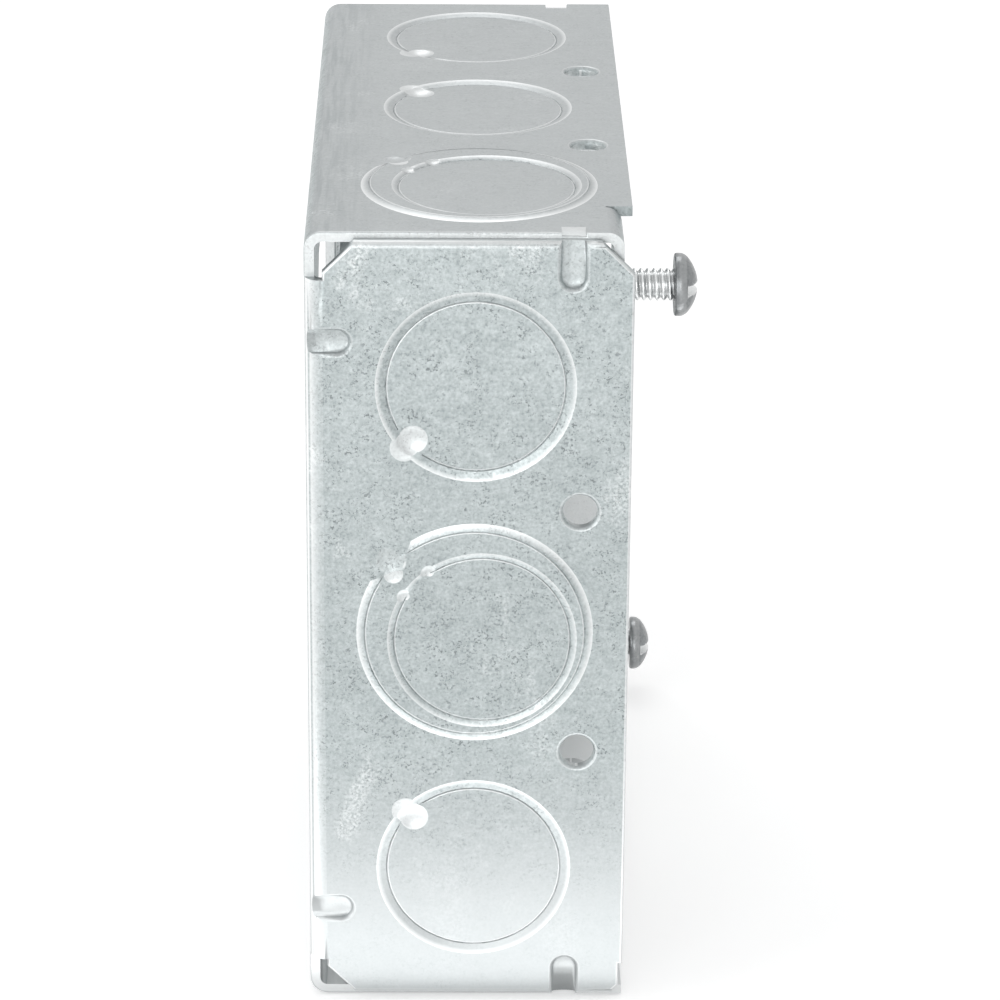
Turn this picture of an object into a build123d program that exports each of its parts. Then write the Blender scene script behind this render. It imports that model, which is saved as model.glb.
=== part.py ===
from build123d import *
import os
from math import atan2, degrees

# Square box extension ring: one sheet of galvanised steel, punched, folded and spot-welded into a
# shallow square ring that makes a wiring box deeper, with two cover screws started in its ears.
# Sizes are in millimetres and degrees. The origin is the middle of the back seating face, +X runs to
# the open front, and +Z is up as the ring stands on its lower side.

# Envelope and sheet
SIDE = 101.6  # width and height over the flat sides
DEPTH = 39.3  # back seating face to the front edge
SHEET = 1.25  # sheet thickness
BACK_BEND = 0.95  # inside radius of the folds from the back frame to the sides
TAB_BEND = 0.3  # inside radius of the folds from the near and far sides to their tabs

# Back frame
FRAME_WIDTH = 9.5  # outside of a side to the window
WEB_LEG = 12.0  # leg of the slanted web in each corner of the window
BACK_HOLE = 5.2  # clearance hole for a screw of the box behind
BACK_HOLE_INSET = 6.35  # centre of that hole to the outside of the near or far side
BACK_HOLE_DROP = 7.5  # centre of that hole to the outside of the upper or lower side

# Tabs and corners of the near and far sides
TAB_REACH = 8.0  # outside of the side to the end of a tab
TAB_CORNER = 0.8  # outside radius of the fold to a tab
TAB_RISE = 0.5  # how far that fold stands up past its tab, in front of the side that lies over the tab
TAB_GAP = 0.12  # that fold to the end of the side behind it
TAB_CLEARANCE = 1.5  # tab to the knockout it is cut round, and to the ear it stops short of
RELIEF_HEIGHT = 5.6  # back corner cut-out, from the outside of the neighbouring side
RELIEF_START = 1.2  # back face to the start of that cut-out's slanted edge
RELIEF_LEG = 4.7  # leg of that slanted edge
EAR_CORNER = 4.75  # leg of the slanted front corner beside an ear
STEP_HEIGHT = 5.0  # front corner away from the ear: height of the edge that is set back
STEP_IN = 0.45  # how far that edge is set back
STEP_CORNER = 0.8  # leg of the small slant at the end of that edge

# Cover-screw ears
COVER_INSET = 6.35  # centre of a cover screw to the outside of the near or far side
UPPER_COVER_DROP = 8.1  # centre of the upper cover screw to the outside of the upper side
LOWER_COVER_DROP = 6.9  # centre of the lower cover screw to the outside of the lower side
EAR_SETBACK = 1.25  # front edge to the front of an ear
EAR_BEND = 0.75  # inside radius of the fold from a side to its ear
EAR_SLIT = 0.3  # width of the slits that free an ear from its side and from the fold beside it
EAR_FIT = 0.05  # radial room between a cover screw and its ear

# Knockouts
KO_PITCH = 32.0  # along a side
SMALL_KO = 10.9  # cut radius of a half-inch slug
LARGE_KO = 13.55  # cut radius of a three-quarter-inch slug
KO_PRESS = 0.3  # how far a slug is pressed out of the sheet's plane
SHEAR_GAP = 0.12  # width of the shear line round a slug
TIE_WIDTH = 4.3  # stretch of a slug's edge that stays joined to the sheet
TIE_DOWN = 222.0  # direction of the tie on the slug at the end of a row
TIE_UP = 137.0  # direction of the ties on the other slugs
PAIR_SHIFT = 0.9  # offset of the inner slug from the outer one, forward and along the side
TABBED_KO_SHIFT = 0.85  # middle of the depth to the row of knockouts, near and far sides
TABBED_ROW_SHIFT = -0.25  # middle of the side to the middle of that row
EARED_KO_SHIFT = 1.25  # the same two, upper and lower sides
EARED_ROW_SHIFT = 0.9

# Screw holes in the sides, halfway between the knockouts
SIDE_HOLE = 4.2
TABBED_HOLE_SETBACK = 6.1  # front edge to the holes of the near and far sides
EARED_HOLE_SETBACK = 4.7  # front edge to the holes of the upper and lower sides

# Darts pressed across the folds of the near and far sides
DART_WIDTH = 2.9
DART_DEPTH = 0.8
DART_BACK = 0.95  # sheet that stays behind a dart's floor
RIB_EMBED = 0.8  # share of a sheet's thickness that the rib behind a dart starts in
RIB_FLARE = 0.5  # how much wider the rib is than the dart, on each side, where it starts
BACK_DART_REACH = 5.35  # back face to the end of a dart on the back fold
BACK_DART_SPREAD = 37.7  # middle of the side to such a dart
END_DART_SETBACK = 7.3  # front edge to a dart on a tab's fold
EAR_DART_REACH = 6.6  # outside of the neighbouring side to the end of such a dart beside an ear
PLAIN_DART_REACH = 5.85  # the same, away from the ear
DENT_DEPTH = 0.45  # mark that the dart's punch leaves on the neighbouring side's edge
DENT_REACH = 2.1

# Cover screws
SCREW_DIAMETER = 3.96
SCREW_LENGTH = 9.5  # under the head
HEAD_DIAMETER = 7.6
HEAD_HEIGHT = 2.85
HEAD_RIM = 1.15  # height of the head's straight edge
SLOT_WIDTH = 1.1
SLOT_DEPTH = 1.3
UPPER_HEAD_STANDOFF = 4.9  # front edge to the underside of the upper screw's head
LOWER_HEAD_STANDOFF = 4.4
UPPER_SLOT_TURN = -14.0  # slot's turn about the screw, from level
LOWER_SLOT_TURN = -12.0

# Worked out from the sizes above
HALF = SIDE / 2
BACK_FOLD = BACK_BEND + SHEET
TAB_FOLD = TAB_BEND + SHEET
EAR_FOLD = EAR_BEND + SHEET
FOLD_END = HALF - RELIEF_HEIGHT
EARED_REACH = HALF - TAB_FOLD
EAR_HALF = COVER_INSET - TAB_FOLD
EAR_FRONT = DEPTH - EAR_SETBACK
EAR_START = EAR_FRONT - EAR_FOLD
TABBED_KO_FORWARD = DEPTH / 2 + TABBED_KO_SHIFT
EARED_KO_FORWARD = DEPTH / 2 + EARED_KO_SHIFT
END_DART_FORWARD = DEPTH - END_DART_SETBACK
HEAD_DOME = HEAD_HEIGHT - HEAD_RIM
HEAD_BALL = (HEAD_DIAMETER**2 / 4 + HEAD_DOME**2) / (2 * HEAD_DOME)
PAST = 1.0  # how far a cutting tool runs past the sheet


# A side is made flat on its own frame: u forward from the back face, v along the side, and w out of
# it, with w = 0 on the outer face. The far side is the near one turned half a turn about X, and the
# lower side is the upper one turned the same way.


def block(u, v, w):
    """A box between two values of u, v and w."""
    middle = Pos((u[0] + u[1]) / 2, (v[0] + v[1]) / 2, (w[0] + w[1]) / 2)
    return middle * Box(u[1] - u[0], v[1] - v[0], w[1] - w[0])


def run_along_v(section, start, end):
    """A section in u and w, run along the side."""
    return Pos(0, end, 0) * extrude(Plane.XZ * section, amount=end - start)


def run_along_u(section, start, end):
    """A section in v and w, run forward."""
    return Pos(start, 0, 0) * extrude(Plane.YZ * section, amount=end - start)


def punch(outline, bottom):
    """A cutter with an outline in u and v, from above the outer face down to a level."""
    return Pos(0, 0, bottom) * extrude(outline, amount=PAST - bottom)


def fold_section(inside):
    """A quarter of a round fold, up and to the left of its centre."""
    outside = inside + SHEET
    quarter = Pos(-outside / 2, outside / 2) * Rectangle(outside, outside)
    return (Circle(outside) - Circle(inside)) & quarter


def slug(radius, level, tie):
    """A knockout's disc at a level, cut free round its edge except at one tie."""
    disc = Pos(0, 0, level - SHEET / 2) * Cylinder(radius, SHEET)
    shear_line = Pos(radius - SHEAR_GAP / 2, 0) * Rectangle(SHEAR_GAP, 2 * (SHEET + PAST))
    tie_angle = degrees(TIE_WIDTH / radius)
    cut = revolve(Plane.XZ * shear_line, Axis.Z, revolution_arc=360 - tie_angle)
    return disc - Rot(0, 0, tie + tie_angle / 2) * cut


def small_knockout(tie):
    """A half-inch slug pressed inward, and the radius of the hole that it fills."""
    return slug(SMALL_KO, -KO_PRESS, tie), SMALL_KO


def pair_knockout(tie):
    """A half-inch slug inside a three-quarter-inch one that is pressed outward, given the same way."""
    inner = Pos(PAIR_SHIFT, -PAIR_SHIFT, KO_PRESS)
    metal = slug(LARGE_KO, KO_PRESS, tie)
    metal -= inner * Cylinder(SMALL_KO, 2 * SHEET + PAST)
    metal += inner * slug(SMALL_KO, -KO_PRESS, tie)
    return metal, LARGE_KO


def with_knockouts(side, forward, shift, row):
    """A side with a row of knockouts, from the lower or near end of the row to the other."""
    for place, (metal, radius) in enumerate(row):
        centre = Pos(forward, shift + (place - 1) * KO_PITCH, 0)
        side -= centre * Cylinder(radius, 2 * SHEET + PAST)
        side += centre * metal
    return side


def with_holes(side, forward, shift):
    """A side with its two screw holes."""
    for offset in (-KO_PITCH / 2, KO_PITCH / 2):
        side -= Pos(forward, shift + offset, 0) * Cylinder(SIDE_HOLE / 2, 2 * SHEET + PAST)
    return side


def with_dart(side, edge, reach, sheets):
    """A side with a dart from one edge: the groove pressed in outside, and its rib inside.

    The rib starts in the innermost of the sheets that lie along that edge."""
    half = DART_WIDTH / 2
    embed = RIB_EMBED * SHEET
    rib = Polygon(
        (-half, -DART_DEPTH - DART_BACK), (half, -DART_DEPTH - DART_BACK),
        (half + RIB_FLARE, -embed), (-half - RIB_FLARE, -embed),
        align=None,
    )
    side += edge * run_along_u(rib, (sheets - 1) * SHEET + embed, reach)
    groove = Rectangle(2 * (reach - half), DART_WIDTH) + Pos(reach - half, 0) * Circle(half)
    return side - edge * punch(groove, -DART_DEPTH)


def tabbed_side():
    """The near or far side, with the tabs that tuck under the upper and lower sides."""
    span = HALF - SHEET
    outer = Pos(0, -TAB_REACH / 2) * Rectangle(2 * span, TAB_REACH)
    risen = TAB_FOLD - TAB_GAP
    outer += Pos(0, -risen / 2) * Rectangle(2 * (span + TAB_RISE), risen)
    outer = fillet(outer.vertices().sort_by(Axis.Y)[-2:], TAB_CORNER)
    inner = Pos(0, -SHEET - TAB_REACH / 2) * Rectangle(2 * (span - SHEET), TAB_REACH)
    inner = fillet(inner.vertices().sort_by(Axis.Y)[-2:], TAB_BEND)
    side = run_along_u(outer - inner, BACK_FOLD, DEPTH)
    back_fold = Pos(BACK_FOLD, -BACK_FOLD) * fold_section(BACK_BEND)
    side += run_along_v(back_fold, -FOLD_END, FOLD_END)

    # Each tab is cut round the knockout next to it in the side above or below. The upper one stops
    # short of the ear, where a slit runs along its fold.
    for end, distance, radius in (
        (1, HALF - KO_PITCH + EARED_ROW_SHIFT, LARGE_KO),
        (-1, HALF - KO_PITCH - EARED_ROW_SHIFT, SMALL_KO),
    ):
        cutter = Cylinder(radius + TAB_CLEARANCE, 2 * TAB_REACH, rotation=(90, 0, 0))
        side -= Pos(EARED_KO_FORWARD, end * HALF, -distance) * cutter
    tab_end = EAR_START - TAB_CLEARANCE
    slit = EAR_SLIT - TAB_FOLD
    side -= block((tab_end, DEPTH + PAST), (span - 2 * SHEET, HALF), (-TAB_REACH - PAST, slit))

    # Corners: a relief at each end of the back fold, a slanted corner beside the ear, and at the other
    # front corner an edge that is set back a little.
    relief = Polygon(
        (-PAST, FOLD_END), (RELIEF_START, FOLD_END),
        (RELIEF_START + RELIEF_LEG, FOLD_END + RELIEF_LEG),
        (RELIEF_START + RELIEF_LEG, HALF + PAST), (-PAST, HALF + PAST),
        align=None,
    )
    ear_corner = Polygon((DEPTH - EAR_CORNER, HALF), (DEPTH, HALF - EAR_CORNER), (DEPTH, HALF), align=None)
    stepped = DEPTH - STEP_IN
    slant_start = -span + STEP_CORNER
    step = Polygon(
        (stepped, STEP_HEIGHT - HALF), (stepped, slant_start), (stepped - STEP_CORNER, -span),
        (stepped - STEP_CORNER, -HALF), (DEPTH + PAST, -HALF), (DEPTH + PAST, STEP_HEIGHT - HALF),
        align=None,
    )
    for corner in (relief, mirror(relief, Plane.XZ), ear_corner, step):
        side -= punch(corner, -TAB_REACH - PAST)

    for v in (-BACK_DART_SPREAD, BACK_DART_SPREAD):
        side = with_dart(side, Pos(0, v + TABBED_ROW_SHIFT, 0), BACK_DART_REACH, 1)
    side = with_dart(side, Pos(END_DART_FORWARD, HALF, 0) * Rot(0, 0, -90), EAR_DART_REACH, 2)
    side = with_dart(side, Pos(END_DART_FORWARD, -HALF, 0) * Rot(0, 0, 90), PLAIN_DART_REACH, 2)
    row = (small_knockout(TIE_UP), pair_knockout(TIE_UP), small_knockout(TIE_DOWN))
    side = with_knockouts(side, TABBED_KO_FORWARD, TABBED_ROW_SHIFT, row)
    return with_holes(side, DEPTH - TABBED_HOLE_SETBACK, TABBED_ROW_SHIFT)


def eared_side(cover_drop):
    """The upper or lower side, with the cover-screw ear bent in from its front corner."""
    side = block((BACK_FOLD, DEPTH), (-EARED_REACH, EARED_REACH), (-SHEET, 0))
    back_fold = Pos(BACK_FOLD, -BACK_FOLD) * fold_section(BACK_BEND)
    side += run_along_v(back_fold, -EARED_REACH, EARED_REACH)

    # The ear: freed by a slit, folded in, and rounded about its screw hole.
    ear_middle = COVER_INSET - HALF
    ear_end = ear_middle + EAR_HALF
    side -= block((EAR_START, DEPTH + PAST), (-HALF, ear_end + EAR_SLIT), (-SHEET - PAST, PAST))
    ear_fold = Pos(EAR_START, -EAR_FOLD) * mirror(fold_section(EAR_BEND), Plane.YZ)
    side += run_along_v(ear_fold, ear_middle - EAR_HALF, ear_end)
    ear = Pos(ear_middle, -(EAR_FOLD + cover_drop) / 2) * Rectangle(2 * EAR_HALF, cover_drop - EAR_FOLD)
    ear += Pos(ear_middle, -cover_drop) * Circle(EAR_HALF)
    ear -= Pos(ear_middle, -cover_drop) * Circle(SCREW_DIAMETER / 2 + EAR_FIT)
    side += run_along_u(ear, EAR_FRONT - SHEET, EAR_FRONT)

    # The punch of each end dart also marks this side's edge above it.
    tilt = degrees(atan2(DENT_DEPTH, DENT_REACH))
    for end in (-1, 1):
        place = Pos(END_DART_FORWARD, end * EARED_REACH, 0) * Rot(0, 0, -end * 90)
        dent = block((-DENT_REACH, 2 * DENT_REACH), (-DART_WIDTH / 2, DART_WIDTH / 2), (-DENT_DEPTH, PAST))
        side -= place * Rot(0, -tilt, 0) * dent
    row = (pair_knockout(TIE_UP), small_knockout(TIE_UP), small_knockout(TIE_DOWN))
    side = with_knockouts(side, EARED_KO_FORWARD, EARED_ROW_SHIFT, row)
    return with_holes(side, DEPTH - EARED_HOLE_SETBACK, EARED_ROW_SHIFT)


def back_frame():
    """The flat frame on the back, in Y and Z, with its window and its two screw holes."""
    flat = HALF - BACK_FOLD
    outline = Rectangle(2 * flat, 2 * flat)
    for end in (-1, 1):
        strip = Rectangle(2 * EARED_REACH, flat - FOLD_END)
        outline += Pos(0, end * (flat + FOLD_END) / 2) * strip
    window = Rectangle(SIDE - 2 * FRAME_WIDTH, SIDE - 2 * FRAME_WIDTH)
    outline -= chamfer(window.vertices(), WEB_LEG)
    for end in (-1, 1):
        centre = Pos(end * (HALF - BACK_HOLE_INSET), end * (HALF - BACK_HOLE_DROP))
        outline -= centre * Circle(BACK_HOLE / 2)
    return run_along_u(outline, 0, SHEET)


def ring_body():
    """The whole folded sheet."""
    near = Plane(origin=(0, -HALF, 0), x_dir=(1, 0, 0), z_dir=(0, -1, 0)).location
    upper = Plane(origin=(0, 0, HALF), x_dir=(1, 0, 0), z_dir=(0, 0, 1)).location
    half_turn = Rot(180, 0, 0)
    body = back_frame()
    tabbed = near * tabbed_side()
    body += tabbed
    body += half_turn * tabbed
    body += upper * eared_side(UPPER_COVER_DROP)
    body += half_turn * upper * eared_side(LOWER_COVER_DROP)
    return body


def cover_screw(slot_turn):
    """A slotted round-head machine screw with its head up +Z, and its underside at the origin."""
    screw = Cylinder(HEAD_DIAMETER / 2, HEAD_HEIGHT, align=(Align.CENTER, Align.CENTER, Align.MIN))
    screw &= Pos(0, 0, HEAD_HEIGHT - HEAD_BALL) * Sphere(HEAD_BALL, rotation=(90, 0, 0))
    slot = Pos(0, 0, HEAD_HEIGHT) * Box(SLOT_WIDTH, 2 * HEAD_DIAMETER, 2 * SLOT_DEPTH)
    screw -= Rot(0, 0, slot_turn) * slot
    shank = Cylinder(SCREW_DIAMETER / 2, SCREW_LENGTH, align=(Align.CENTER, Align.CENTER, Align.MAX))
    return screw + shank


forward = Rot(0, 90, 0)
side_offset = HALF - COVER_INSET
upper_place = Pos(DEPTH + UPPER_HEAD_STANDOFF, -side_offset, HALF - UPPER_COVER_DROP)
lower_place = Pos(DEPTH + LOWER_HEAD_STANDOFF, side_offset, LOWER_COVER_DROP - HALF)
upper_screw = upper_place * forward * cover_screw(UPPER_SLOT_TURN)
lower_screw = lower_place * forward * cover_screw(LOWER_SLOT_TURN)
nodes = {
    "ring_body": ring_body(),
    "cover_screws": Compound([upper_screw.solid(), lower_screw.solid()]),
}

os.makedirs("parts", exist_ok=True)
for name, solid in nodes.items():
    export_step(solid, f"parts/{name}.step")
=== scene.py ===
from collections import namedtuple
from math import cos, pi, radians, sin

import bmesh
import bpy
from mathutils import Matrix, Vector


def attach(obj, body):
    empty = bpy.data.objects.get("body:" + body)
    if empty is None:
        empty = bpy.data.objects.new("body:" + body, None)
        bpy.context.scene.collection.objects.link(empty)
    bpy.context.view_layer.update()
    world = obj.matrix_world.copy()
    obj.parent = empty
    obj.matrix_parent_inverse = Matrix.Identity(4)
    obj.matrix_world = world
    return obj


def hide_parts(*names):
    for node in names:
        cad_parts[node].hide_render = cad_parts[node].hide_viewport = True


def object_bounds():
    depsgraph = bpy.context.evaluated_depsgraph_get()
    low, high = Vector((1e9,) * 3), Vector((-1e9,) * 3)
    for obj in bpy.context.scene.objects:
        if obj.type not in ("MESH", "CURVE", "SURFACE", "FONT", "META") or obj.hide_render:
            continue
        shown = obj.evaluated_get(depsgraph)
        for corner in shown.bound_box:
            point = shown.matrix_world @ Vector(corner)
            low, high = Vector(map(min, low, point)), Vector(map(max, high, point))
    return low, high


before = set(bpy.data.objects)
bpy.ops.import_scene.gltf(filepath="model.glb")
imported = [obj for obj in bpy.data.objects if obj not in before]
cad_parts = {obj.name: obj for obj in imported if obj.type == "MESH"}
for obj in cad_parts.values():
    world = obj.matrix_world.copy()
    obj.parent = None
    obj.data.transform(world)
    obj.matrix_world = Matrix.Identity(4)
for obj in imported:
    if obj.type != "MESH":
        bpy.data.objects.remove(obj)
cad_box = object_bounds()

# Ring body: one sheet of galvanised steel, punched, folded into a square ring and spot-welded. The press
# rolls the rims of the knockouts, holes and darts, and leaves a round mark on each tie. The piece is a
# merged copy of the CAD sheet with those rims and marks formed in it.
MM = 0.001
HALF_SIDE = 50.8 * MM
SHEET = 1.25 * MM
NEAR = 0.02 * MM
SAME_SPOT = 0.001 * MM
LEVEL_WITHIN = radians(0.5)
sheet = bmesh.new()
sheet.from_mesh(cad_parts["ring_body"].data)
bmesh.ops.remove_doubles(sheet, verts=sheet.verts, dist=SAME_SPOT)
bmesh.ops.dissolve_limit(sheet, angle_limit=LEVEL_WITHIN, verts=sheet.verts, edges=sheet.edges)
sheet.normal_update()

# Sheared edges and bends are painted paler than the flats, partly for the press's burnish and partly as
# painted
# highlights: the ends of the upper and lower sides, the front edges, and every fold. The inside is painted
# paler too, as painted light for what falls in through the open front.
SIDE_END = 49.25 * MM
FRONT_EDGES = 38.0 * MM
SQUARE_ON = 0.99
TILTED = 0.05
BEND_FLAT = 0.75
BEND_FADE = 0.3
SIDE_END_SHINE = 0.5
FRONT_EDGE_SHINE = 0.4
LEVEL_BEND_SHINE = 0.5
UPRIGHT_BEND_SHINE = 0.9
INSIDE_PAINTED_LIGHT = 0.55
burnish_and_highlight = sheet.loops.layers.float.new("burnish_and_highlight")


def paint_burnish_and_highlight(faces, shine, share=lambda vert: 1):
    """Paints faces paler by the corner, partly for burnish and partly as painted highlight, in full or by a
    share worked out for each corner.
    """
    for face in faces:
        for corner in face.loops:
            corner[burnish_and_highlight] = shine * share(corner.vert)


def bend_share(vert):
    """How much of a bend's shine a corner has: none where the bend runs into the side, and more beyond."""
    return min(max((BEND_FLAT - abs(vert.normal.y)) / BEND_FADE, 0), 1)


side_ends = []
for face in sheet.faces:
    middle = face.calc_center_median()
    tilted = [abs(part) > TILTED for part in face.normal]
    outward = face.normal.y if middle.y > 0 else -face.normal.y
    inward = max(-outward, -face.normal.z if middle.z > 0 else face.normal.z)
    if outward > SQUARE_ON and abs(abs(middle.y) - SIDE_END) < NEAR:
        side_ends.append(face)
        paint_burnish_and_highlight([face], SIDE_END_SHINE)
    elif face.normal.x > SQUARE_ON and middle.x > FRONT_EDGES:
        paint_burnish_and_highlight([face], FRONT_EDGE_SHINE)
    elif tilted[1] and (tilted[0] or tilted[2]):
        level_bend = abs(middle.z) > HALF_SIDE - SHEET
        paint_burnish_and_highlight([face], LEVEL_BEND_SHINE if level_bend else UPRIGHT_BEND_SHINE, bend_share)
    # Inside faces: painted light, paler for the light that falls in through the open front.
    elif inward > SQUARE_ON:
        paint_burnish_and_highlight([face], INSIDE_PAINTED_LIGHT)


def side_place(turns, forward, along, height=0.0):
    """A spot on a side, with its axis out of it: the upper side, or one a number of quarter turns on."""
    return Matrix.Rotation(turns * pi / 2, 4, "X") @ Matrix.Translation((forward, along, HALF_SIDE + height))


def circle_edges(mesh, place, radius):
    """The edges that lie on a circle round a place."""
    to_place = place.inverted()
    on_circle = set()
    for vert in mesh.verts:
        spot = to_place @ vert.co
        if abs(spot.z) < NEAR and abs(spot.xy.length - radius) < NEAR:
            on_circle.add(vert)
    return [edge for edge in mesh.edges if on_circle.issuperset(edge.verts)]


def round_edges(edges, offset, steps):
    """Rounds the outer edges among those given by an offset, and gives the new faces."""
    made = bmesh.ops.bevel(
        sheet, geom=[edge for edge in edges if edge.is_convex], offset=offset, segments=steps, profile=0.5,
        affect="EDGES", material=-1, clamp_overlap=False,
    )
    return made["faces"]


ROLL_START = 0.2 * MM
ROLL_STEPS = 6
creases = []


def roll_rim(place, radius, width, drop, curl, shine, line):
    """Rolls the rim of a hole down by a drop over a width, or up where the drop is negative.

    A curl of 1 is a plain slope with a crease round it, and a larger one curves into the flat. The shine
    is a pale line painted just inside the crease, partly burnish and partly painted highlight, which fades
    out over a share of the width."""
    to_place = place.inverted()
    rolled = round_edges(circle_edges(sheet, place, radius), ROLL_START, ROLL_STEPS)
    for vert in {vert for face in rolled for vert in face.verts}:
        spot = to_place @ vert.co
        reach = spot.xy.length
        share = min(max((reach - radius) / ROLL_START, 0), 1)
        new_reach = radius + width * share
        spot = Vector((spot.x * new_reach / reach, spot.y * new_reach / reach, -drop * (1 - share) ** curl))
        vert.co = place @ spot

    def line_share(vert):
        """How much of the line's shine a corner has: all of it at the crease, and less further in."""
        across = ((to_place @ vert.co).xy.length - radius) / width
        return max(0, 1 - (1 - across) / line)

    paint_burnish_and_highlight(rolled, shine, line_share)
    creases.append((place, radius + width))


# Rims of the knockouts: half-inch slugs are pressed in, and the outer slug of a pair is pressed out. The
# sides with ears, above and below, have their pair at one end, and the plain sides have it in the middle.
EARED_KO_X = 20.9 * MM
PLAIN_KO_X = 20.5 * MM
EARED_SHIFT = 0.9 * MM
PLAIN_SHIFT = -0.25 * MM
KO_PITCH = 32 * MM
SMALL_KO = 10.9 * MM
LARGE_KO = 13.55 * MM
KO_PRESS = 0.3 * MM
SHEAR_GAP = 0.12 * MM
PAIR_SHIFT = 0.9 * MM
TIE_UP = radians(137)
TIE_DOWN = radians(222)
LIP_WIDTH = 1.2 * MM
LIP_DROP = 0.36 * MM
PAIR_RIM_WIDTH = 0.9 * MM
PAIR_LIP_WIDTH = 0.7 * MM
PAIR_LIP_DROP = 0.26 * MM
LIP_CURL = 1.2
SLUG_ROUND = 0.18 * MM
SLUG_SHINE = 0.45
SHEARED_STEPS = 3
Knockout = namedtuple("Knockout", "kind place radius tie height rim")
knockouts = []
for turns in range(4):
    eared = turns % 2 == 0
    forward = EARED_KO_X if eared else PLAIN_KO_X
    shift = EARED_SHIFT if eared else PLAIN_SHIFT
    pairs = (True, False, False) if eared else (False, True, False)
    for step, pair, tie in zip((-1, 0, 1), pairs, (TIE_UP, TIE_UP, TIE_DOWN)):
        along = shift + step * KO_PITCH
        place = side_place(turns, forward, along)
        if pair:
            inner = side_place(turns, forward + PAIR_SHIFT, along - PAIR_SHIFT, KO_PRESS)
            roll_rim(place, LARGE_KO, PAIR_RIM_WIDTH, -KO_PRESS, LIP_CURL, shine=0.7, line=0.9)
            roll_rim(inner, SMALL_KO, PAIR_LIP_WIDTH, PAIR_LIP_DROP, LIP_CURL, shine=0.5, line=0.8)
            knockouts.append(Knockout("outer", place, LARGE_KO, tie, KO_PRESS, KO_PRESS))
            knockouts.append(Knockout("inner", inner, SMALL_KO, tie, -KO_PRESS, -PAIR_LIP_DROP))
        else:
            roll_rim(place, SMALL_KO, LIP_WIDTH, LIP_DROP, LIP_CURL, shine=0.6, line=0.5)
            knockouts.append(Knockout("single", place, SMALL_KO, tie, -KO_PRESS, -LIP_DROP))
# The slugs' rounded edges are painted paler: partly burnish, partly painted highlight.
for knockout in knockouts:
    slug_place = knockout.place @ Matrix.Translation((0, 0, knockout.height))
    slug_edge = circle_edges(sheet, slug_place, knockout.radius - SHEAR_GAP)
    paint_burnish_and_highlight(round_edges(slug_edge, SLUG_ROUND, SHEARED_STEPS), SLUG_SHINE)

# The shear rolls the outer edges of the side ends, and the edges of the corner cut-outs and the front.
# These roundings are painted paler: partly burnish, partly painted highlight.
ROLLED_END_FRONT = 34 * MM
END_ROUND = 0.25 * MM
END_ROUND_SHINE = 0.3
FACES_BACK = -0.5
rolled_ends = [
    edge for face in side_ends for edge in face.edges
    if edge.is_convex and any(
        other.normal.z * other.calc_center_median().z > 0 or other.normal.x < FACES_BACK
        for other in edge.link_faces if other not in side_ends
    ) and all(vert.co.x < ROLLED_END_FRONT for vert in edge.verts)
]
paint_burnish_and_highlight(round_edges(rolled_ends, END_ROUND, SHEARED_STEPS), END_ROUND_SHINE)
CORNER_Z = 44 * MM
CORNER_BACK = 8 * MM
CORNER_FRONT = 34 * MM
SHARP_FOLD = 1.0
CUT_ROUND = 0.3 * MM
CUT_SHINE = 0.5


def by_corner(vert):
    """Whether a point lies by one of the ring's corners, near the back or the front."""
    return abs(vert.co.z) > CORNER_Z and (vert.co.x < CORNER_BACK or vert.co.x > CORNER_FRONT)


cut_outs = [
    edge for edge in sheet.edges
    if edge.is_convex and edge.calc_face_angle() > SHARP_FOLD
    and all(abs(abs(vert.co.y) - HALF_SIDE) < NEAR for vert in edge.verts)
    and (min(vert.co.x for vert in edge.verts) > FRONT_EDGES or all(by_corner(vert) for vert in edge.verts))
]
paint_burnish_and_highlight(round_edges(cut_outs, CUT_ROUND, SHEARED_STEPS), CUT_SHINE)

# Rims of the screw holes between the knockouts.
SIDE_HOLE = 2.1 * MM
EARED_HOLE_X = 34.6 * MM
PLAIN_HOLE_X = 33.2 * MM
HOLE_RIM_WIDTH = 0.45 * MM
HOLE_RIM_DROP = 0.42 * MM
for turns in range(4):
    eared = turns % 2 == 0
    for step in (-0.5, 0.5):
        along = (EARED_SHIFT if eared else PLAIN_SHIFT) + step * KO_PITCH
        place = side_place(turns, EARED_HOLE_X if eared else PLAIN_HOLE_X, along)
        roll_rim(place, SIDE_HOLE, HOLE_RIM_WIDTH, HOLE_RIM_DROP, curl=2, shine=0.3, line=1.0)


def finish_mesh(made, name):
    """The mesh made so far, as an object at the origin."""
    bmesh.ops.remove_doubles(made, verts=made.verts, dist=SAME_SPOT)
    bmesh.ops.recalc_face_normals(made, faces=made.faces)
    mesh = bpy.data.meshes.new(name)
    made.to_mesh(mesh)
    made.free()
    piece = bpy.data.objects.new(name, mesh)
    bpy.context.scene.collection.objects.link(piece)
    return piece


def joined(piece, tool, operation):
    """Cuts a piece by a tool, welds the tool to it or keeps what both share. The tool is thrown away."""
    cut = piece.modifiers.new(operation.lower(), "BOOLEAN")
    cut.operation = operation
    cut.solver = "EXACT"
    cut.object = tool
    result = bpy.data.meshes.new_from_object(piece.evaluated_get(bpy.context.evaluated_depsgraph_get()))
    piece.modifiers.clear()
    old = piece.data
    piece.data = result
    bpy.data.meshes.remove(old)
    bpy.data.objects.remove(tool)


# A shear line is only a crack: below its rims the slug and the sheet still touch. These beds close it.
BED_DEPTH = 0.16 * MM
BED_OVERLAP = 0.06 * MM
BED_STEPS = 96


def out_of_side(place):
    """The direction of a place's axis."""
    return place.to_3x3() @ Vector((0, 0, 1))


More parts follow.
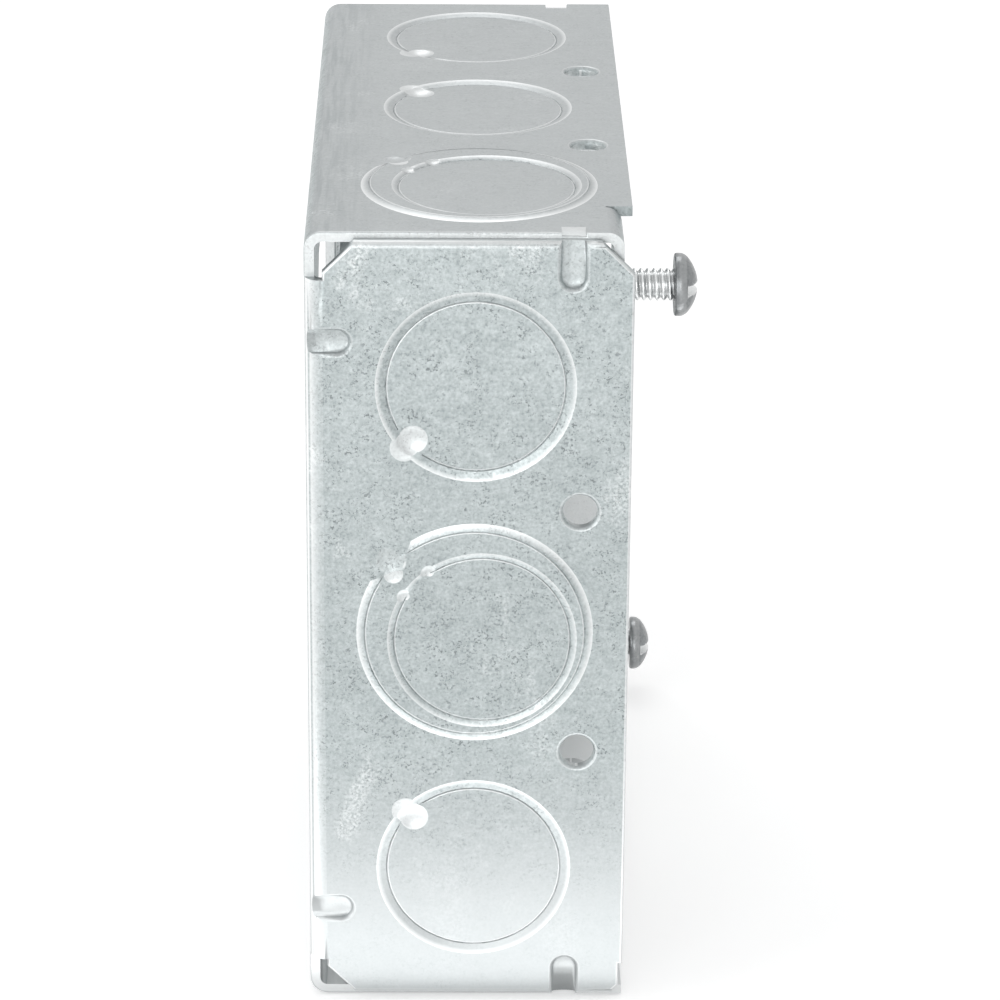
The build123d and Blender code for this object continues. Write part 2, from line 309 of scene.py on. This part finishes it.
beds = bmesh.new()
for knockout in knockouts:
    place = knockout.place
    top = min(knockout.rim, knockout.height) - BED_DEPTH
    bottom = max(0, knockout.height) - SHEET + BED_DEPTH
    inside = knockout.radius - SHEAR_GAP - BED_OVERLAP
    outside = knockout.radius + BED_OVERLAP
    outline = [(inside, bottom), (outside, bottom), (outside, top), (inside, top)]
    corners = [beds.verts.new(place @ Vector((reach, 0, level))) for reach, level in outline]
    edges = [beds.edges.new(pair) for pair in zip(corners, corners[1:] + corners[:1])]
    bmesh.ops.spin(
        beds, geom=corners + edges, cent=place.translation, axis=out_of_side(place), angle=2 * pi,
        steps=BED_STEPS, use_merge=True,
    )

# Darts stiffen the bends, and a punch leaves round marks on the ties. Both are cut by press tools, in two
# sets, because marks that lie over each other can't be cut at once.
press = bmesh.new()
inner_press = bmesh.new()
for tools in (press, inner_press):
    tools.loops.layers.float.new("burnish_and_highlight")
CLEAR = 0.6 * MM
DART_HALF = 1.45 * MM
DART_OVERRUN = 2 * MM
DART_STEPS = 24
PROFILE_STEPS = 4
DART_SHOULDER = 0.5 * MM
DART_SHOULDER_SHINE = 0.8
TROUGH = 0.8 * MM
TROUGH_SAG = 0.28 * MM
TROUGH_SHINE = 0.15


def press_dart(place, reach):
    """A tool with rolled shoulders and a round nose, which runs in from its place to a round end."""
    steps = [step / PROFILE_STEPS for step in range(PROFILE_STEPS + 1)]
    roll = [(DART_HALF + DART_SHOULDER * (1 - step), -DART_SHOULDER * step**2) for step in steps]
    nose = [(DART_HALF * (1 - step), -TROUGH - TROUGH_SAG * (1 - (1 - step) ** 2)) for step in steps]
    outline = [(0, CLEAR), (DART_HALF + DART_SHOULDER, CLEAR)] + roll + nose
    centre = Vector((reach - DART_HALF, 0, 0))
    corners = [press.verts.new(place @ (centre + Vector((0, along, height)))) for along, height in outline]
    edges = [press.edges.new(pair) for pair in zip(corners, corners[1:])]
    bmesh.ops.spin(
        press, geom=corners + edges, cent=place @ centre, axis=out_of_side(place), angle=-pi,
        steps=DART_STEPS,
    )
    bmesh.ops.remove_doubles(press, verts=press.verts, dist=SAME_SPOT)
    rim = [edge for edge in press.edges if edge.is_boundary]
    run = bmesh.ops.extrude_edge_only(press, edges=rim)["geom"]
    moved = [part for part in run if isinstance(part, bmesh.types.BMVert)]
    back = Vector((DART_HALF - reach - DART_OVERRUN, 0, 0))
    bmesh.ops.translate(press, verts=moved, vec=place.to_3x3() @ back)
    bmesh.ops.holes_fill(press, edges=[edge for edge in press.edges if edge.is_boundary])
    # The tool paints the dart's rolled shoulders pale and its trough a little paler: painted highlight,
    # partly burnish.
    burnish_and_highlight_layer = press.loops.layers.float["burnish_and_highlight"]
    to_place = place.inverted()
    for corner in [corner for face in press.faces for corner in face.loops]:
        spot = to_place @ corner.vert.co
        if -DART_SHOULDER - NEAR < spot.z < -NEAR and spot.xy.length < reach + DART_SHOULDER:
            corner[burnish_and_highlight_layer] = DART_SHOULDER_SHINE
        elif spot.z < -TROUGH + NEAR:
            corner[burnish_and_highlight_layer] = TROUGH_SHINE


BACK_DARTS = (-37.95 * MM, 37.45 * MM)
BACK_DART_REACH = 5.35 * MM
END_DART_X = 32 * MM
END_DART_REACHES = {1: 6.6 * MM, -1: 5.85 * MM}
for turns in (1, 3):
    for along in BACK_DARTS:
        press_dart(side_place(turns, 0, along), BACK_DART_REACH)
    for end, reach in END_DART_REACHES.items():
        edge_place = side_place(turns, END_DART_X, end * HALF_SIDE)
        press_dart(edge_place @ Matrix.Rotation(-end * pi / 2, 4, "Z"), reach)


MARK_STEPS = 48
NOSE_STEPS = 10
NOSE_HALF_ANGLE = pi / 4


def press_mark(tools, place, ball, depth, shine):
    """A round-nosed punch that goes in to a depth at its place, and paints the metal there paler, partly for
    burnish and partly as painted highlight.
    """
    angles = [step / NOSE_STEPS * NOSE_HALF_ANGLE for step in range(NOSE_STEPS + 1)]
    nose = [(ball * sin(angle), ball * (1 - cos(angle)) - depth) for angle in angles]
    outline = nose + [(nose[-1][0], nose[-1][1] + CLEAR), (0, nose[-1][1] + CLEAR)]
    corners = [tools.verts.new(place @ Vector((radius, 0, height))) for radius, height in outline]
    edges = [tools.edges.new(pair) for pair in zip(corners, corners[1:])]
    bmesh.ops.spin(
        tools, geom=corners + edges, cent=place.translation, axis=out_of_side(place), angle=2 * pi,
        steps=MARK_STEPS, use_merge=True,
    )
    burnish_and_highlight_layer = tools.loops.layers.float["burnish_and_highlight"]
    for face in tools.faces:
        if (face.calc_center_median() - place.translation).length < 2 * ball:
            for corner in face.loops:
                corner[burnish_and_highlight_layer] = shine


# The marks of each kind of knockout: how far outside the slug's edge and how many degrees round from the
# tie they lie, their level, and the punch's ball, depth and shine. Lengths are in millimetres.
Mark = namedtuple("Mark", "tools outside round_by level ball depth shine")
TIE_MARKS = {
    "single": (Mark(press, -0.8, 0, -0.3, 3.4, 0.5, 0.45), Mark(inner_press, 0.6, 0, 0, 9.0, 0.18, 0.4)),
    "outer": (Mark(press, 0.75, 0, 0, 5.0, 0.2, 0.1), Mark(inner_press, -0.9, 4.5, 0.3, 3.4, 0.22, 0.5)),
    "inner": (Mark(press, 0.1, -11.3, -0.3, 1.6, 0.1, 0.4), Mark(press, 0.1, 11.3, -0.3, 1.6, 0.1, 0.4)),
}
for knockout in knockouts:
    for mark in TIE_MARKS[knockout.kind]:
        reach = knockout.radius + mark.outside * MM
        angle = knockout.tie + radians(mark.round_by)
        spot = Vector((reach * cos(angle), reach * sin(angle), mark.level * MM))
        mark_place = knockout.place @ Matrix.Translation(spot)
        press_mark(mark.tools, mark_place, mark.ball * MM, mark.depth * MM, mark.shine)

# The ring is welded and cut, cleaned of slivers, and shaded smooth but for its folds and creases.
SLIVER = 0.002 * MM
SHARP_ANGLE = radians(40)
ring = finish_mesh(sheet, "ring")
joined(ring, finish_mesh(beds, "shear_beds"), "UNION")
joined(ring, finish_mesh(press, "press_tools"), "DIFFERENCE")
joined(ring, finish_mesh(inner_press, "inner_press_tools"), "DIFFERENCE")
ring.data.name = "ring"
ring.data.shade_smooth()
ring.data.set_sharp_from_angle(angle=SHARP_ANGLE)
creased = bmesh.new()
creased.from_mesh(ring.data)
bmesh.ops.remove_doubles(creased, verts=creased.verts, dist=SLIVER)
bmesh.ops.dissolve_degenerate(creased, edges=creased.edges, dist=SLIVER)
bmesh.ops.holes_fill(creased, edges=[edge for edge in creased.edges if edge.is_boundary])
bmesh.ops.delete(creased, geom=[edge for edge in creased.edges if edge.is_wire], context="EDGES")
for place, radius in creases:
    for edge in circle_edges(creased, place, radius):
        edge.smooth = False
creased.to_mesh(ring.data)
creased.free()
flats = ring.modifiers.new("flats", "WEIGHTED_NORMAL")
flats.keep_sharp = True
flats.weight = 100


# Galvanised finish of the ring: hot-dip zinc with a fine grain of dark flecks, faint rolling streaks and
# pale rubbed patches. Its group gives a tone, flecks, rub and height, and the screws' plate uses it too.
def new_group(name, inputs, outputs):
    """A shader node group with number inputs and its named outputs."""
    group = bpy.data.node_groups.new(name, "ShaderNodeTree")
    for socket, value in inputs.items():
        number = group.interface.new_socket(socket, in_out="INPUT", socket_type="NodeSocketFloat")
        number.default_value = value
    for socket in outputs:
        group.interface.new_socket(socket, in_out="OUTPUT", socket_type="NodeSocketFloat")
    return group, group.nodes.new("NodeGroupInput"), group.nodes.new("NodeGroupOutput")


def set_sockets(tree, node, sockets):
    """Sets a node's sockets, by a link where the value is another node's socket."""
    for key, value in sockets.items():
        if isinstance(value, bpy.types.NodeSocket):
            tree.links.new(value, node.inputs[key])
        else:
            node.inputs[key].default_value = value


def add(tree, kind, sockets=None, **settings):
    """A node with its settings and sockets."""
    node = tree.nodes.new(kind)
    for key, value in settings.items():
        setattr(node, key, value)
    set_sockets(tree, node, sockets or {})
    return node


def blend(tree, factor, first, second):
    """One colour mixed into another."""
    node = add(tree, "ShaderNodeMix", {0: factor, 6: first, 7: second}, data_type="RGBA")
    return node.outputs[2]


def stretch(tree, value, low, high, out_low=0.0, out_high=1.0):
    """A value stretched from one range to another, and held inside it."""
    sockets = {"Value": value, "From Min": low, "From Max": high, "To Min": out_low, "To Max": out_high}
    return add(tree, "ShaderNodeMapRange", sockets).outputs["Result"]


def combine(tree, operation, first, second):
    """One sum on two values."""
    return add(tree, "ShaderNodeMath", {0: first, 1: second}, operation=operation).outputs[0]


def noise(tree, place, scale, detail, roughness):
    """Soft random values, from about 0.3 to 0.7."""
    sockets = {"Vector": place, "Scale": scale, "Detail": detail, "Roughness": roughness}
    return add(tree, "ShaderNodeTexNoise", sockets).outputs["Fac"]


zinc_grain, grain_in, grain_out = new_group(
    "zinc_grain", {"Streaks": 1.0, "Strength": 1.0}, ("Tone", "Flecks", "Rub", "Height"),
)
where = add(zinc_grain, "ShaderNodeTexCoord").outputs["Object"]
drawn = add(zinc_grain, "ShaderNodeMapping", {"Vector": where, "Scale": (0.3, 1.0, 1.0)}).outputs[0]
fine = noise(zinc_grain, where, scale=2600.0, detail=2.0, roughness=0.6)
mottle = noise(zinc_grain, where, scale=1000.0, detail=3.0, roughness=0.55)
cloud = noise(zinc_grain, where, scale=150.0, detail=3.0, roughness=0.55)
streak = noise(zinc_grain, drawn, scale=1500.0, detail=2.0, roughness=0.6)
tone = stretch(zinc_grain, fine, 0.25, 0.75, -1.1, 1.1)
tone = combine(zinc_grain, "ADD", tone, stretch(zinc_grain, mottle, 0.25, 0.75, -0.6, 0.6))
tone = combine(zinc_grain, "ADD", tone, stretch(zinc_grain, cloud, 0.3, 0.7, -0.35, 0.35))
drawn_tone = combine(
    zinc_grain, "MULTIPLY", stretch(zinc_grain, streak, 0.25, 0.75, -0.4, 0.4), grain_in.outputs["Streaks"],
)
tone = combine(zinc_grain, "ADD", tone, drawn_tone)
tone = combine(zinc_grain, "MULTIPLY", tone, grain_in.outputs["Strength"])
zinc_grain.links.new(tone, grain_out.inputs["Tone"])
speck = noise(zinc_grain, where, scale=2900.0, detail=2.0, roughness=0.7)
crowd = noise(zinc_grain, where, scale=420.0, detail=3.0, roughness=0.6)
crowd = stretch(zinc_grain, crowd, 0.42, 0.62, 0.1, 1.0)
flecks = combine(zinc_grain, "MULTIPLY", stretch(zinc_grain, speck, 0.56, 0.62), crowd)
flecks = combine(zinc_grain, "MULTIPLY", flecks, grain_in.outputs["Strength"])
zinc_grain.links.new(flecks, grain_out.inputs["Flecks"])
wiped = add(zinc_grain, "ShaderNodeMapping", {"Vector": where, "Scale": (1.0, 1.0, 0.5)}).outputs[0]
patch = stretch(zinc_grain, noise(zinc_grain, wiped, scale=130.0, detail=4.0, roughness=0.6), 0.6, 0.7)
rub = combine(zinc_grain, "MULTIPLY", patch, stretch(zinc_grain, fine, 0.4, 0.6))
rub = combine(zinc_grain, "MULTIPLY", rub, grain_in.outputs["Strength"])
zinc_grain.links.new(rub, grain_out.inputs["Rub"])
pits = combine(zinc_grain, "MULTIPLY", flecks, -1.0)
zinc_grain.links.new(combine(zinc_grain, "ADD", tone, pits), grain_out.inputs["Height"])

# The upper and lower sides take their own copy of the zinc colours with less grain, set by which way a face
# points: a painted tone for how the light falls on them. Towards the foot the grain fades into the same copy:
# a painted sheen, for a bright reflection that washes the grain out. By the back
# bend the fold has dragged dark lines along the level sides and scuffed the upright ones.
ZINC_DARK = (0.295, 0.332, 0.336, 1)
ZINC_PALE = (0.535, 0.58, 0.584, 1)
LEVEL_DARK = (0.31, 0.33, 0.335, 1)
LEVEL_PALE = (0.56, 0.585, 0.59, 1)
LEVEL_STREAK = (0.26, 0.285, 0.295, 1)
ZINC_FLECK = (0.165, 0.186, 0.19, 1)
ZINC_RUB = (0.86, 0.88, 0.88, 1)
BURNISH_AND_HIGHLIGHT_PALE = (0.9, 0.91, 0.91, 1)
FLECK_WEIGHT = 0.85
LEVEL_GRAIN = 0.3
WASHED_OUT_GRAIN = 0.15
WASHED_OUT_FROM = -16 * MM
WASHED_OUT_TO = -36 * MM
BEND_NEAR = 2 * MM
BEND_FAR = 9 * MM
GRAIN_HEIGHT = 0.03 * MM
sheet_zinc = bpy.data.materials.new("galvanised_sheet")
sheet_zinc.use_nodes = True
nodes = sheet_zinc.node_tree
bsdf = nodes.nodes["Principled BSDF"]
grain = add(nodes, "ShaderNodeGroup", node_tree=zinc_grain)
around = add(nodes, "ShaderNodeTexCoord")
spot = add(nodes, "ShaderNodeSeparateXYZ", {"Vector": around.outputs["Object"]})
by_bend = stretch(nodes, spot.outputs["X"], BEND_FAR, BEND_NEAR)
facing = add(nodes, "ShaderNodeSeparateXYZ", {"Vector": around.outputs["Normal"]}).outputs["Z"]
level_side = stretch(nodes, combine(nodes, "ABSOLUTE", facing, 0.0), 0.6, 0.9)
# The grain fades out towards the foot as a painted sheen, and the level sides' colours are a painted tone for
# their light.
grain_washed_out_low = stretch(nodes, spot.outputs["Z"], WASHED_OUT_FROM, WASHED_OUT_TO, 1.0, WASHED_OUT_GRAIN)
grain_left = stretch(nodes, level_side, 0.0, 1.0, 1.0, LEVEL_GRAIN)
nodes.links.new(combine(nodes, "MULTIPLY", grain_left, grain_washed_out_low), grain.inputs["Strength"])
shade = stretch(nodes, grain.outputs["Tone"], -1.6, 1.6)
colour = blend(nodes, shade, ZINC_DARK, ZINC_PALE)
level_and_foot_painted_tone = combine(nodes, "MAXIMUM", level_side, stretch(nodes, grain_washed_out_low, WASHED_OUT_GRAIN, 1.0, 1.0, 0.0))
colour = blend(nodes, level_and_foot_painted_tone, colour, blend(nodes, shade, LEVEL_DARK, LEVEL_PALE))
colour = blend(nodes, combine(nodes, "MULTIPLY", grain.outputs["Flecks"], FLECK_WEIGHT), colour, ZINC_FLECK)
along_bend = {"Vector": around.outputs["Object"], "Scale": (1.0, 0.06, 1.0)}
dragged = add(nodes, "ShaderNodeMapping", along_bend).outputs[0]
drag_lines = noise(nodes, dragged, scale=1300.0, detail=2.0, roughness=0.6)
drag_lines = stretch(nodes, drag_lines, 0.44, 0.62, 0.1, 0.5)
drag_marks = combine(nodes, "MULTIPLY", combine(nodes, "MULTIPLY", drag_lines, by_bend), level_side)
colour = blend(nodes, drag_marks, colour, LEVEL_STREAK)
scuffs = combine(nodes, "MULTIPLY", grain.outputs["Rub"], stretch(nodes, by_bend, 0.0, 1.0, 0.3, 0.85))
colour = blend(nodes, scuffs, colour, ZINC_RUB)
# Pale paint from the attribute: partly burnish, partly painted highlight, and painted light inside.
burnish_and_highlight_mask = add(nodes, "ShaderNodeAttribute", attribute_name="burnish_and_highlight").outputs["Fac"]
colour = blend(nodes, burnish_and_highlight_mask, colour, BURNISH_AND_HIGHLIGHT_PALE)
nodes.links.new(colour, bsdf.inputs["Base Color"])
nodes.links.new(stretch(nodes, grain.outputs["Tone"], -1.5, 1.5, 0.46, 0.34), bsdf.inputs["Roughness"])
bsdf.inputs["Metallic"].default_value = 0.7
rough = {"Strength": 0.2, "Distance": GRAIN_HEIGHT, "Height": grain.outputs["Height"]}
bump = add(nodes, "ShaderNodeBump", rough)
nodes.links.new(bump.outputs["Normal"], bsdf.inputs["Normal"])
ring.data.materials.clear()
ring.data.materials.append(sheet_zinc)
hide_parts("ring_body")
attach(ring, "root")

# Cover screws: two slotted round-head machine screws of steel with bright zinc, about 4 mm in diameter,
# with 32 threads to the inch. Their heads are formed cold and their threads rolled, and they are started
# a few turns into the ears.
SCREW_RADIUS = 1.97 * MM
THREAD_ROOT = 1.58 * MM
THREAD_PITCH = 25.4 / 32 * MM
THREAD_STEPS = 40
SHANK = 9.5 * MM
HEAD_RADIUS = 3.8 * MM
HEAD_HEIGHT = 2.84 * MM
HEAD_RIM = 1.15 * MM
HEAD_BALL = (HEAD_RADIUS**2 + (HEAD_HEIGHT - HEAD_RIM) ** 2) / (2 * (HEAD_HEIGHT - HEAD_RIM))
HEAD_SHOULDER = 0.5 * MM
FOOT_ROUND = 0.35 * MM
SLOT_WIDTH = 1.1 * MM
SLOT_DEPTH = 1.3 * MM
TIP_CHAMFER = 0.5 * MM
CREST_CLEAR = 0.1 * MM
HEAD_SINK = 0.4 * MM
TURNED_STEPS = 64
ROUND_STEPS = 6
DOME_ANGLES = range(0, 60, 5)


def threaded_shank():
    """A ridge wound up the shank, longer than needed at both ends, as a closed solid.

    The ridge's outline has radii and shares of the pitch."""
    shank = bmesh.new()
    ridge = (
        (THREAD_ROOT, 0), (THREAD_ROOT, 0.1), (SCREW_RADIUS, 0.45), (SCREW_RADIUS, 0.58), (THREAD_ROOT, 1.0),
    )
    start = -SHANK - 2 * THREAD_PITCH
    turns = int((SHANK + 4 * THREAD_PITCH) / THREAD_PITCH)
    corners = [shank.verts.new((radius, 0, start + share * THREAD_PITCH)) for radius, share in ridge]
    edges = [shank.edges.new(pair) for pair in zip(corners, corners[1:])]
    bmesh.ops.spin(
        shank, geom=corners + edges, axis=(0, 0, 1), angle=2 * pi * turns, steps=THREAD_STEPS * turns,
        dvec=(0, 0, THREAD_PITCH / THREAD_STEPS),
    )
    bmesh.ops.remove_doubles(shank, verts=shank.verts, dist=SAME_SPOT)
    bmesh.ops.holes_fill(shank, edges=[edge for edge in shank.edges if edge.is_boundary])
    bmesh.ops.triangulate(shank, faces=[face for face in shank.faces if len(face.verts) > 4])
    return finish_mesh(shank, "shank")


def turned(outline, name):
    """An open outline of radii and heights from the axis back to it, turned once round."""
    shape = bmesh.new()
    corners = [shape.verts.new((radius, 0, height)) for radius, height in outline]
    edges = [shape.edges.new(pair) for pair in zip(corners, corners[1:])]
    bmesh.ops.spin(
        shape, geom=corners + edges, axis=(0, 0, 1), angle=2 * pi, steps=TURNED_STEPS, use_merge=True,
    )
    return finish_mesh(shape, name)


def round_corner(start, corner, end):
    """The points of a smooth bend from one point to another, round a corner."""
    bend = []
    for step in [step / ROUND_STEPS for step in range(1, ROUND_STEPS + 1)]:
        weights = ((1 - step) ** 2, 2 * step * (1 - step), step**2)
        bend.append(tuple(
            sum(weight * value for weight, value in zip(weights, values))
            for values in zip(start, corner, end)
        ))
    return bend


SLOT_SHINE = 0.8
CREST_SHINE = 0.9
ROOT_SHINE = 0.5
HEAD_SHOULDER_SHINE = 0.12
SCREW_SHARP_ANGLE = radians(32)


def cover_screw(name, place, slot_turn):
    """A screw with its head's underside at its place and its shank behind it."""
    blank_radius = SCREW_RADIUS + CREST_CLEAR
    blank = turned((
        (0, -SHANK), (SCREW_RADIUS - TIP_CHAMFER, -SHANK), (blank_radius, -SHANK + TIP_CHAMFER + CREST_CLEAR),
        (blank_radius, HEAD_SINK), (0, HEAD_SINK),
    ), "blank")
    shank = threaded_shank()
    joined(shank, blank, "INTERSECT")
    dome = [radians(angle) for angle in DOME_ANGLES]
    edge = [(HEAD_BALL * sin(angle), HEAD_HEIGHT - HEAD_BALL + HEAD_BALL * cos(angle)) for angle in dome]
    edge = [point for point in edge if point[0] < HEAD_RADIUS - HEAD_SHOULDER]
    edge += round_corner(edge[-1], (HEAD_RADIUS, HEAD_RIM), (HEAD_RADIUS, HEAD_RIM - HEAD_SHOULDER))
    foot = [(HEAD_RADIUS, FOOT_ROUND), (HEAD_RADIUS, 0), (HEAD_RADIUS - FOOT_ROUND, 0)]
    head = turned(edge + foot[:1] + round_corner(*foot) + [(0, 0)], "head")
    joined(head, shank, "UNION")
    slot = bmesh.new()
    bmesh.ops.create_cube(slot, size=1, matrix=(
        Matrix.Rotation(slot_turn, 4, "Z") @ Matrix.Translation((0, 0, HEAD_HEIGHT))
        @ Matrix.Diagonal((SLOT_WIDTH, 4 * HEAD_RADIUS, 2 * SLOT_DEPTH, 1))
    ))
    joined(head, finish_mesh(slot, "slot"), "DIFFERENCE")
    # The thread, the slot and the head's shoulder are painted paler: painted highlights, partly burnish.
    screw_highlight_mesh = bmesh.new()
    screw_highlight_mesh.from_mesh(head.data)
    screw_burnish_and_highlight = screw_highlight_mesh.loops.layers.float.new("burnish_and_highlight")
    for corner in [corner for face in screw_highlight_mesh.faces for corner in face.loops]:
        spot = corner.vert.co
        reach = spot.xy.length
        across_slot = abs(spot.x * cos(slot_turn) + spot.y * sin(slot_turn))
        if spot.z < -NEAR:
            corner[screw_burnish_and_highlight] = CREST_SHINE if reach > SCREW_RADIUS - NEAR else ROOT_SHINE
        elif across_slot < SLOT_WIDTH / 2 + NEAR and spot.z > HEAD_HEIGHT - SLOT_DEPTH - NEAR:
            corner[screw_burnish_and_highlight] = SLOT_SHINE
        elif reach > HEAD_RADIUS - HEAD_SHOULDER / 2 and spot.z > HEAD_RIM / 2:
            corner[screw_burnish_and_highlight] = HEAD_SHOULDER_SHINE
    screw_highlight_mesh.to_mesh(head.data)
    screw_highlight_mesh.free()
    head.data.transform(place)
    head.name = name
    head.data.name = name
    head.data.shade_smooth()
    head.data.set_sharp_from_angle(angle=SCREW_SHARP_ANGLE)
    return head


# The plate's colours are darker than bright zinc: painted dark reflection, for the dark surroundings the
# heads mirror.
PLATE_DARK_REFLECTION = (0.15, 0.16, 0.165, 1)
PLATE_PALE_REFLECTION = (0.31, 0.32, 0.325, 1)
screw_zinc = bpy.data.materials.new("screw_zinc")
screw_zinc.use_nodes = True
nodes = screw_zinc.node_tree
bsdf = nodes.nodes["Principled BSDF"]
grain = add(nodes, "ShaderNodeGroup", {"Streaks": 0.0}, node_tree=zinc_grain)
colour = blend(nodes, stretch(nodes, grain.outputs["Tone"], -1.8, 1.8), PLATE_DARK_REFLECTION, PLATE_PALE_REFLECTION)
screw_burnish_and_highlight_mask = add(nodes, "ShaderNodeAttribute", attribute_name="burnish_and_highlight").outputs["Fac"]
colour = blend(nodes, screw_burnish_and_highlight_mask, colour, BURNISH_AND_HIGHLIGHT_PALE)
nodes.links.new(colour, bsdf.inputs["Base Color"])
nodes.links.new(stretch(nodes, grain.outputs["Tone"], -1.5, 1.5, 0.36, 0.24), bsdf.inputs["Roughness"])
bsdf.inputs["Metallic"].default_value = 1.0
rough = {"Strength": 0.12, "Distance": GRAIN_HEIGHT, "Height": grain.outputs["Height"]}
bump = add(nodes, "ShaderNodeBump", rough)
nodes.links.new(bump.outputs["Normal"], bsdf.inputs["Normal"])

TO_THE_FRONT = Matrix.Rotation(pi / 2, 4, "Y")
SCREWS = {
    "upper_cover_screw": (Vector((44.2, -44.45, 42.7)) * MM, radians(-4)),
    "lower_cover_screw": (Vector((43.7, 44.45, -43.9)) * MM, radians(-3)),
}
for name, (head_place, slot_turn) in SCREWS.items():
    screw = cover_screw(name, Matrix.Translation(head_place) @ TO_THE_FRONT, slot_turn)
    screw.data.materials.clear()
    screw.data.materials.append(screw_zinc)
    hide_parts("cover_screws")
    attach(screw, "root")

# Studio: a plain pale floor under the ring, a white surround, and soft lamps above, in front and to the
# left. Two pale cards of light on the floor brighten the foot of the near side, as a white table does.
FLOOR = cad_box[0][2]
FLOOR_REACH = 3.0
FLOOR_GLOW = 0.36
SURROUND_LIGHT = 0.6
SURROUND_SEEN = 1.0
floor_mesh = bmesh.new()
bmesh.ops.create_grid(floor_mesh, x_segments=1, y_segments=1, size=FLOOR_REACH)
bmesh.ops.translate(floor_mesh, verts=floor_mesh.verts, vec=(0, 0, FLOOR))
floor = finish_mesh(floor_mesh, "floor")
floor_paint = bpy.data.materials.new("floor_paint")
floor_paint.use_nodes = True
nodes = floor_paint.node_tree
bsdf = nodes.nodes["Principled BSDF"]
bsdf.inputs["Base Color"].default_value = (0.9, 0.9, 0.9, 1)
bsdf.inputs["Roughness"].default_value = 0.9
bsdf.inputs["Emission Color"].default_value = (1, 1, 1, 1)


def seen_directly(tree):
    """1 for what the camera, metal or glass sees, and 0 for the light that falls on things."""
    rays = add(tree, "ShaderNodeLightPath")
    seen = combine(tree, "MAXIMUM", rays.outputs["Is Camera Ray"], rays.outputs["Is Glossy Ray"])
    return combine(tree, "MAXIMUM", seen, rays.outputs["Is Transmission Ray"])


floor_glow = combine(nodes, "MULTIPLY", seen_directly(nodes), FLOOR_GLOW)
nodes.links.new(floor_glow, bsdf.inputs["Emission Strength"])
floor.data.materials.append(floor_paint)

world = bpy.data.worlds.new("studio")
bpy.context.scene.world = world
world.use_nodes = True
nodes = world.node_tree
background = nodes.nodes["Background"]
background.inputs["Color"].default_value = (1, 1, 1, 1)
surround = stretch(nodes, seen_directly(nodes), 0.0, 1.0, SURROUND_LIGHT, SURROUND_SEEN)
nodes.links.new(surround, background.inputs["Strength"])


def lamp(name, spot, aim, size, glow):
    """A soft lamp, sized in width and height, that faces a point and glows by an amount all over."""
    light = bpy.data.lights.new(name, "AREA")
    light.shape = "RECTANGLE"
    light.size, light.size_y = size
    light.energy = glow * pi * size[0] * size[1]
    holder = bpy.data.objects.new(name, light)
    holder.location = spot
    holder.rotation_euler = (Vector(aim) - Vector(spot)).to_track_quat("-Z", "Y").to_euler()
    holder.visible_camera = False
    bpy.context.scene.collection.objects.link(holder)


RING_MIDDLE = (0.02, 0, 0)
CARD_LEVEL = FLOOR + 1 * MM
lamp("front_lamp", (-0.2, -0.95, 0.24), RING_MIDDLE, size=(0.9, 0.6), glow=1.8)
lamp("back_lamp", (-0.1, 0.5, 0.8), RING_MIDDLE, size=(0.6, 0.3), glow=2.3)
lamp("left_lamp", (-0.7, -0.35, 0.15), RING_MIDDLE, size=(0.4, 0.5), glow=2.4)
lamp("near_card", (0.02, -0.069, CARD_LEVEL), (0.02, -0.068, 1), size=(0.16, 0.03), glow=1.4)
lamp("front_card", (0.02, -0.3, CARD_LEVEL), (0.02, -0.299, 1), size=(0.3, 0.14), glow=0.4)

# Camera: the photograph's place and lens, found from the ring's corners. It looks down on the near side,
# a little turned and a little rolled.
CAMERA_PLACE = Vector((16.994, -546.156, 219.261)) * MM
CAMERA_TURN = radians(-0.7495)
CAMERA_DOWN = radians(22.1785)
CAMERA_ROLL = radians(0.4506)
camera_data = bpy.data.cameras.new("camera")
camera_data.sensor_width = 36
camera_data.lens = 159.67
camera_data.clip_start = 0.01
camera = bpy.data.objects.new("camera", camera_data)
camera.location = CAMERA_PLACE
aim = Matrix.Rotation(CAMERA_TURN, 3, "Z") @ Matrix.Rotation(pi / 2 - CAMERA_DOWN, 3, "X")
camera.rotation_euler = (aim @ Matrix.Rotation(CAMERA_ROLL, 3, "Z")).to_euler()
bpy.context.scene.collection.objects.link(camera)
bpy.context.scene.camera = camera
bpy.context.scene.view_settings.view_transform = "Standard"
